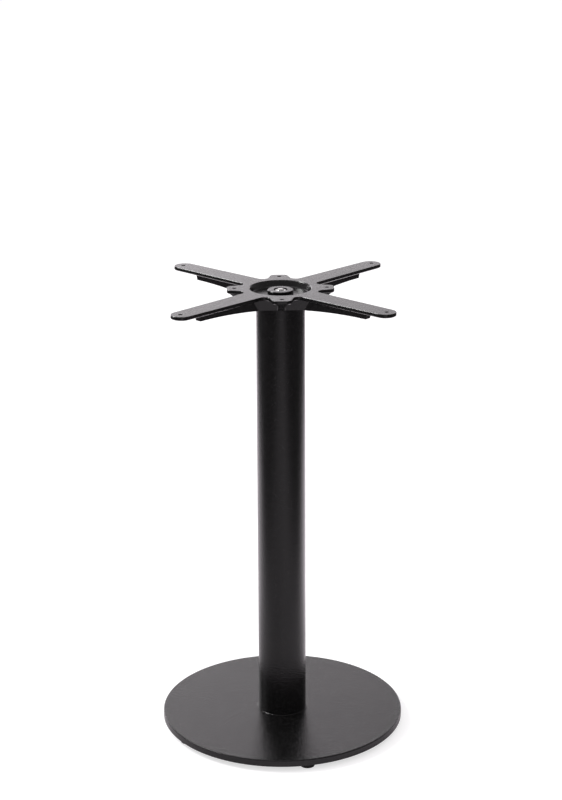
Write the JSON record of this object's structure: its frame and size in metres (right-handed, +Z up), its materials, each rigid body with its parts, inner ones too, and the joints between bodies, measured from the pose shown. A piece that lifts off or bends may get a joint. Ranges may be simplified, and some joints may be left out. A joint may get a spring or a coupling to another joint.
{
  "type": "pedestal table base",
  "caption": "Round cast iron table base with a tube column and a four-arm cast top spider, on levelling feet.",
  "frame": {"origin": "on the floor, on the axis of the column", "axes": "+Z up along the column; the spider's four arms lie on the diagonals between X and Y, its four ears on the axes; the picture looks along +Y"},
  "size_m": [0.3859, 0.386, 0.72],
  "materials": {
    "cast_black": "satin",
    "tube_black": "satin",
    "zinc": "satin",
    "foot_plastic": "matte"
  },
  "bodies": {
    "frame": {"base_plate": "cast_black", "column_tube": "tube_black", "top_spider": "cast_black", "tie_rod": "zinc", "top_nut": "zinc", "top_washer": "zinc", "bottom_nut": "zinc", "bottom_washer": "zinc"},
    "foot_1": {"foot_1_pad": "foot_plastic", "foot_1_stem": "zinc"},
    "foot_2": {"foot_2_pad": "foot_plastic", "foot_2_stem": "zinc"},
    "foot_3": {"foot_3_pad": "foot_plastic", "foot_3_stem": "zinc"},
    "foot_4": {"foot_4_pad": "foot_plastic", "foot_4_stem": "zinc"},
    "foot_5": {"foot_5_pad": "foot_plastic", "foot_5_stem": "zinc"}
  },
  "joints": [
    {"name": "foot_1_screw", "type": "slide", "parent": "frame", "child": "foot_1", "axis": [0, 0, 1], "range_m": [-0.005, 0.0013]},
    {"name": "foot_2_screw", "type": "slide", "parent": "frame", "child": "foot_2", "axis": [0, 0, 1], "range_m": [-0.005, 0.0013]},
    {"name": "foot_3_screw", "type": "slide", "parent": "frame", "child": "foot_3", "axis": [0, 0, 1], "range_m": [-0.005, 0.0013]},
    {"name": "foot_4_screw", "type": "slide", "parent": "frame", "child": "foot_4", "axis": [0, 0, 1], "range_m": [-0.005, 0.0013]},
    {"name": "foot_5_screw", "type": "slide", "parent": "frame", "child": "foot_5", "axis": [0, 0, 1], "range_m": [-0.005, 0.0013]}
  ]
}
